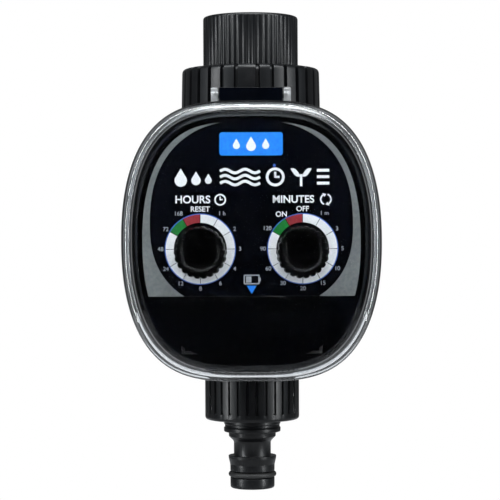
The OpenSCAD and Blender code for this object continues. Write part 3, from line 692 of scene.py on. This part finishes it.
def make_label():
    """Grey label with a black printed field that leaves a crescent on each side."""
    bm = bmesh.new()
    inset = 3.8 * MM
    edge = [(x, CENTRE_Z + z) for x, z in outline(CASE_HW - inset, CASE_HH - inset, 240)]
    plate(bm, cut_above(edge, LABEL_FOOT), label_hi.y, label_hi.y - label_lo.y)
    finish_piece("label_film", bm, label_grey, "case", ("label_plate",))

    field_z = CENTRE_Z + 5.4 * MM
    half_w, up, down, power = 34.6 * MM, 35.9 * MM, 29.4 * MM, 2.4
    points = []
    for a in even_angles(240):
        c, s = math.cos(a), math.sin(a)
        height = up if s >= 0 else down
        points.append((half_w * math.copysign(abs(c) ** (2 / power), c),
                       field_z + height * math.copysign(abs(s) ** (2 / power), s)))
    bm = bmesh.new()
    plate(bm, cut_above(points, LABEL_FOOT + 0.02 * MM), LABEL_Y)
    finish_piece("label_field", bm, label_black, "case")


INK_Y = LABEL_Y - PRINT_T


def make_rings():
    """Ring of twelve steps round each dial: ten white, one green, one red."""
    white, green, red, blue = (bmesh.new() for _ in range(4))
    r_in = 9 * MM
    gap = 0.55                    # degrees, on each side of a step
    for side in (-1, 1):
        cx = side * RING_X
        for step in range(12):
            bm = green if step == 10 else red if step == 11 else white
            sector(bm, cx, RING_Z, r_in, RING_R, 30 * step + gap, 30 * (step + 1) - gap, INK_Y)
        sector(blue, cx, RING_Z, RING_R + 0.02 * MM, RING_R + 0.3 * MM, 0, 360, INK_Y)
    finish_piece("ring_white", white, ink_white, "case")
    finish_piece("ring_green", green, ink_green, "case")
    finish_piece("ring_red", red, ink_red, "case")
    finish_piece("ring_outline", blue, ink_pale_blue, "case")


HOURS = ["RESET", "1 h", "2", "3", "4", "6", "8", "12", "24", "48", "72", "168"]
MINUTES = ["OFF", "1 m", "3", "5", "10", "15", "20", "30", "60", "90", "120", "ON"]


def make_numbers():
    """Steps round the dials, as printed numbers."""
    words, digits = bmesh.new(), bmesh.new()
    for side, steps in ((-1, HOURS), (1, MINUTES)):
        for i, text in enumerate(steps):
            a = math.radians(30 * i)
            word = text in ("RESET", "OFF", "ON")
            away = RING_R + (1.75 * MM if word or len(text) < 3 else 2.15 * MM)
            wide = 0.9 * MM if text in ("1 h", "1 m", "168", "ON") else 0
            x = side * RING_X + (away + wide) * math.sin(a)
            z = RING_Z + away * math.cos(a)
            add_text(words if word else digits, text, x, z, (1.75 if word else 1.4) * MM, INK_Y,
                     weight=0.00004 if word else 0.00001)
    finish_piece("dial_words", words, ink_white, "case")
    finish_piece("dial_numbers", digits, ink_dim, "case")


def ring_icon(bm, cx, cz, r, width, start=0, end=360):
    """Ring or arc of one line width."""
    sector(bm, cx, cz, r - width / 2, r + width / 2, start, end, INK_Y)


def drop_points(cx, cz, r, tall, count=28):
    """Water drop: a round foot and a pointed top."""
    points = []
    for k in range(count + 1):
        a = math.radians(-122 + 244 * k / count)
        points.append((cx + r * math.sin(a), cz - r * math.cos(a)))
    points.append((cx, cz + tall))
    return points


def make_headings():
    """Unit names and icons above the dials."""
    bm = bmesh.new()
    z = CENTRE_Z + 14.1 * MM
    add_text(bm, "HOURS", -20 * MM, z, 2.55 * MM, INK_Y, weight=0.00007)
    add_text(bm, "MINUTES", 14.3 * MM, z, 2.45 * MM, INK_Y, weight=0.00007)
    # Clock
    cx, r = -10.6 * MM, 1.75 * MM
    ring_icon(bm, cx, z, r, 0.5 * MM)
    stroke(bm, [(cx, z + 1.1 * MM), (cx, z - 0.1 * MM)], 0.4 * MM, INK_Y)
    stroke(bm, [(cx, z), (cx + 0.85 * MM, z + 0.1 * MM)], 0.4 * MM, INK_Y)
    # Running cycle: two arcs, each with an arrow head
    cx = 25.4 * MM
    head = 0.75 * MM
    for turn in (0, 180):
        ring_icon(bm, cx, z, r, 0.5 * MM, turn + 20, turn + 150)
        a = math.radians(turn + 150)
        tip = math.radians(turn + 185)
        plate(bm, [(cx + (r - head) * math.sin(a), z + (r - head) * math.cos(a)),
                   (cx + (r + head) * math.sin(a), z + (r + head) * math.cos(a)),
                   (cx + r * math.sin(tip), z + r * math.cos(tip))], INK_Y)
    finish_piece("dial_headings", bm, ink_white, "case")


def make_plate():
    """Plain blue plate with three white drops."""
    z, hw, hh, corner = CENTRE_Z + 33.1 * MM, 10.8 * MM, 3.95 * MM, 0.9 * MM
    points = []
    for sx, sz, start in ((1, 1, 0), (1, -1, 90), (-1, -1, 180), (-1, 1, 270)):
        points += arc_points(sx * (hw - corner), z + sz * (hh - corner), corner, start, start + 90, 6)
    bm = bmesh.new()
    plate(bm, points, INK_Y)
    finish_piece("blue_plate", bm, ink_blue, "case")
    bm = bmesh.new()
    for k, scale in ((-1, 0.72), (0, 1.0), (1, 0.72)):
        drop = drop_points(k * 5 * MM, z - 0.8 * MM * scale, 1.65 * MM * scale, 3.3 * MM * scale)
        plate(bm, drop, INK_Y - PRINT_T)
    finish_piece("plate_drops", bm, ink_white, "case")


def make_title():
    """Row of white pictures where a title would be: drops, waves, clock, sprout, three bars."""
    z = CENTRE_Z + 21.8 * MM
    bm = bmesh.new()
    for cx, scale in ((-24 * MM, 1.0), (-18.8 * MM, 0.75), (-14.6 * MM, 0.55)):
        plate(bm, drop_points(cx, z - 1.1 * MM, 2.1 * MM * scale, 4.1 * MM * scale), INK_Y)
    for row in (-1, 0, 1):
        wave = [(-10.6 * MM + 13.6 * MM * k / 48,
                 z + row * 2.05 * MM + 0.62 * MM * math.sin(TAU * 2 * k / 48)) for k in range(49)]
        stroke(bm, wave, 0.95 * MM, INK_Y)
    cx = 8.2 * MM
    ring_icon(bm, cx, z, 2.75 * MM, 0.9 * MM)
    stroke(bm, [(cx, z + 1.75 * MM), (cx, z - 0.25 * MM)], 0.75 * MM, INK_Y)
    stroke(bm, [(cx - 0.1 * MM, z), (cx + 1.45 * MM, z)], 0.75 * MM, INK_Y)
    # Sprout: stem and two leaves
    cx = 17 * MM
    stroke(bm, [(cx, z - 3.2 * MM), (cx, z + 0.9 * MM)], 0.8 * MM, INK_Y)
    for side in (-1, 1):
        edges = [(k / 10, 1.1) for k in range(11)] + [(1 - k / 10, -1.1) for k in range(1, 10)]
        leaf = [(cx + side * (0.2 + 3.4 * t) * MM, z + (0.2 + 2.6 * t + bulge * math.sin(math.pi * t)) * MM)
                for t, bulge in edges]
        plate(bm, leaf, INK_Y)
    for height in (2.2 * MM, 0, -2.2 * MM):
        stroke(bm, [(22.4 * MM, z + height), (26.6 * MM, z + height)], 0.95 * MM, INK_Y)
    finish_piece("title_icons", bm, ink_white, "case")
    bm = bmesh.new()
    sector(bm, 7.9 * MM, z + 3.9 * MM, 0.02 * MM, 0.5 * MM, 0, 360, INK_Y)
    finish_piece("title_dot", bm, ink_pale_blue, "case")


def make_battery_mark():
    """Battery sign and the arrow that points to the battery door."""
    z = CENTRE_Z - 13.1 * MM
    hw, hh, line = 2.5 * MM, 1.45 * MM, 0.4 * MM
    bm = bmesh.new()
    for a, b in (((-hw, hh), (hw, hh)), ((-hw, -hh), (hw, -hh)),
                 ((-hw, -hh), (-hw, hh)), ((hw, -hh), (hw, hh))):
        stroke(bm, [(a[0], z + a[1]), (b[0], z + b[1])], line, INK_Y)
    stroke(bm, [(hw + 0.35 * MM, z - 0.6 * MM), (hw + 0.35 * MM, z + 0.6 * MM)], 0.5 * MM, INK_Y)
    stroke(bm, [(-1.9 * MM, z), (-0.1 * MM, z)], 2.1 * MM, INK_Y)
    finish_piece("battery_sign", bm, ink_dim, "case")
    bm = bmesh.new()
    top = z - 2.1 * MM
    plate(bm, [(-1.65 * MM, top), (1.65 * MM, top), (0, top - 2.8 * MM)], INK_Y)
    finish_piece("battery_arrow", bm, ink_blue, "case")


# ---------------------------------------------------------------- lid

def lid_profile(wall_inset, fillet_r, front, rim, bead):
    """Sections of one skin of the lid from its rim to its face: (inset, y)."""
    sections = [(wall_inset - bead, rim), (wall_inset - bead, rim - 1.1 * MM)]
    if bead:
        sections += [(wall_inset - bead * 0.75, rim - 1.7 * MM), (wall_inset - bead * 0.15, rim - 2.1 * MM)]
    sections.append((wall_inset, rim - 2.6 * MM))
    steps = 12
    for k in range(steps + 1):
        a = math.pi / 2 * k / steps
        sections.append((wall_inset + fillet_r * (1 - math.cos(a)), front + fillet_r * (1 - math.sin(a))))
    return sections


def make_lid():
    """Clear lid: one closed shell with a rolled rim, a round front edge and a faintly domed face."""
    bead = 0.5 * MM
    count = 240
    bm = bmesh.new()

    def skin(sections, front, dome):
        rings = [outline_ring(bm, LID_HW - i, LID_HH - i, y, count) for i, y in sections]
        inset = sections[-1][0]
        for k in range(1, 10):
            s = 1 - k / 10
            rings.append([bm.verts.new((x * s, front - dome * (1 - s * s), CENTRE_Z + z * s))
                          for x, z in outline(LID_HW - inset, LID_HH - inset, count)])
        for i in range(len(rings) - 1):
            bridge(bm, rings[i], rings[i + 1])
        fan(bm, rings[-1], (0, front - dome, CENTRE_Z))
        return rings

    dome = 0.5 * MM
    outer = skin(lid_profile(bead, 3.1 * MM, LID_FRONT + dome, LID_RIM, bead), LID_FRONT + dome, dome)
    inner_wall = bead + LID_WALL
    inner = skin(lid_profile(inner_wall, 1.7 * MM, LID_FRONT + dome + LID_WALL, LID_RIM, 0),
                 LID_FRONT + dome + LID_WALL, dome)
    bridge(bm, outer[0], inner[0])
    finish_piece("lid_shell", bm, lid_clear, "lid", ("clear_lid",), 60)


def make_lid_arm(side):
    """Clear hinge arm: a squared tab that rises from the lid to the pin."""
    x0 = side * 12.5 * MM - 1.2 * MM
    x1 = x0 + 2.4 * MM
    pin_hole, corner, soft = 1.26 * MM, 0.8 * MM, 0.35 * MM
    back, front = HINGE.y + 2.55 * MM, HINGE.y - 3.3 * MM
    base, top = CENTRE_Z + LID_HH - 1.2 * MM, HINGE.z + 2.4 * MM
    border = []
    for cy, cz, start in ((back - corner, top - corner, 0), (back - corner, base + corner, 90),
                          (front + corner, base + corner, 180), (front + corner, top - corner, 270)):
        border += arc_points(cy, cz, corner, start, start + 90, 6)
    middle_y, middle_z = (back + front) / 2, (base + top) / 2
    angles = [math.atan2(z - HINGE.z, y - HINGE.y) for y, z in border]
    hole = [(HINGE.y + pin_hole * math.cos(a), HINGE.z + pin_hole * math.sin(a)) for a in angles]
    bm = bmesh.new()
    rows = []
    for x, shrink in ((x0, soft), (x0 + soft * 0.3, soft * 0.3), (x0 + soft, 0),
                      (x1 - soft, 0), (x1 - soft * 0.3, soft * 0.3), (x1, soft)):
        rows.append([bm.verts.new((x, y - math.copysign(shrink, y - middle_y),
                                   z - math.copysign(shrink, z - middle_z))) for y, z in border])
    for i in range(len(rows) - 1):
        bridge(bm, rows[i], rows[i + 1])
    low = [bm.verts.new((x0, y, z)) for y, z in hole]
    high = [bm.verts.new((x1, y, z)) for y, z in hole]
    bridge(bm, rows[0], low)
    bridge(bm, rows[-1], high)
    bridge(bm, low, high)
    name = "lid_arm_left" if side < 0 else "lid_arm_right"
    finish_piece(name, bm, lid_frosted, "lid", smooth_angle=40)


# ---------------------------------------------------------------- scene

def world_lobe(nodes, links, direction, outer, inner, strength, tone):
    """Soft light from one direction: angles in degrees, from its edge to its full strength."""
    coord = nodes.new("ShaderNodeTexCoord")
    dot = nodes.new("ShaderNodeVectorMath")
    dot.operation = "DOT_PRODUCT"
    dot.inputs[1].default_value = Vector(direction).normalized()
    links.new(coord.outputs["Generated"], dot.inputs[0])
    span = nodes.new("ShaderNodeMapRange")
    span.interpolation_type = "SMOOTHSTEP"
    span.inputs["From Min"].default_value = math.cos(math.radians(outer))
    span.inputs["From Max"].default_value = math.cos(math.radians(inner))
    span.inputs["To Max"].default_value = strength
    links.new(dot.outputs["Value"], span.inputs["Value"])
    scaled = nodes.new("ShaderNodeVectorMath")
    scaled.operation = "SCALE"
    scaled.inputs[0].default_value = tone
    links.new(span.outputs["Result"], scaled.inputs["Scale"])
    return scaled.outputs["Vector"]


def make_world():
    """Studio light in the world's shader. The camera itself sees plain white."""
    world = bpy.data.worlds.new("studio")
    bpy.context.scene.world = world
    world.use_nodes = True
    nodes, links = world.node_tree.nodes, world.node_tree.links
    background = nodes["Background"]
    ring_tone = (0.96, 0.985, 1)
    lobes = [
        ((0, -0.55, 1), 46, 22, 2.6, (0.87, 0.95, 1)),          # overhead softbox
        ((-1, -0.55, 0.25), 44, 18, 1.0, (0.83, 0.93, 1)),      # left softbox
        ((1, -0.55, 0.2), 44, 18, 0.9, (0.83, 0.93, 1)),        # right softbox
        ((0, -1, 0), 65, 63, 26, ring_tone),                    # ring light: a disc ...
        ((0, -1, 0), 59, 57, -26, ring_tone),                   # ... less its middle
        ((0.1, -1, 0.8), 17, 9, 10, (1, 1, 1)),                 # key light
        ((0, 1, 0), 88, 55, 0.16, (0.95, 0.98, 1)),             # backdrop
        ((0.05, -0.5, -1), 34, 14, 0.6, (1, 0.94, 0.84)),       # warm bounce from below
    ]
    total = None
    for lobe in lobes:
        value = world_lobe(nodes, links, *lobe)
        if total is None:
            total = value
            continue
        add = nodes.new("ShaderNodeVectorMath")
        add.operation = "ADD"
        links.new(total, add.inputs[0])
        links.new(value, add.inputs[1])
        total = add.outputs["Vector"]
    path = nodes.new("ShaderNodeLightPath")
    mix = nodes.new("ShaderNodeMix")
    mix.data_type = "RGBA"
    links.new(path.outputs["Is Camera Ray"], mix.inputs["Factor"])
    links.new(total, mix.inputs[6])
    mix.inputs[7].default_value = (1, 1, 1, 1)
    links.new(mix.outputs[2], background.inputs["Color"])


def make_floor():
    """Plain pale floor, a round sheet below the hanging timer."""
    bm = bmesh.new()
    radius, drop = 0.5, 0.1
    z = cad_box[0][2] - drop
    bm.faces.new([bm.verts.new((radius * math.cos(a), radius * math.sin(a), z))
                  for a in even_angles(96)])
    mesh = bpy.data.meshes.new("floor")
    bm.to_mesh(mesh)
    bm.free()
    mat, nodes, links, bsdf = new_material("floor")
    tint(nodes, links, noise(nodes, links, 6), bsdf.inputs["Base Color"],
         (0.26, 0.26, 0.265), (0.3, 0.3, 0.305))
    bsdf.inputs["Roughness"].default_value = 0.9
    mesh.materials.append(mat)
    floor = bpy.data.objects.new("floor", mesh)
    bpy.context.scene.collection.objects.link(floor)


def make_camera():
    """Camera straight on, a touch above the object's middle."""
    data = bpy.data.cameras.new("camera")
    data.lens = 130
    data.sensor_width = 36
    data.clip_start = 0.01
    camera = bpy.data.objects.new("camera", data)
    distance, eye_z, aim_z, aim_x, lean = 0.650, -79.3 * MM, -83.6 * MM, -0.5 * MM, 0.27
    camera.location = (aim_x, -distance, eye_z)
    pitch = math.atan2(aim_z - eye_z, distance)
    camera.rotation_euler = (math.pi / 2 + pitch, math.radians(lean), 0)
    bpy.context.scene.collection.objects.link(camera)
    bpy.context.scene.camera = camera


make_camera()
make_adapter()
make_swivel_nut()
make_connector()
make_nose_ring()
make_outlet_pipe()
make_case()
for dial_node in DIAL_BODIES:
    make_dial(dial_node)
make_label()
make_rings()
make_numbers()
make_headings()
make_plate()
make_title()
make_battery_mark()
make_lid()
for arm_side in (-1, 1):
    make_lid_arm(arm_side)
make_world()
make_floor()
bpy.context.scene.view_settings.view_transform = "Standard"
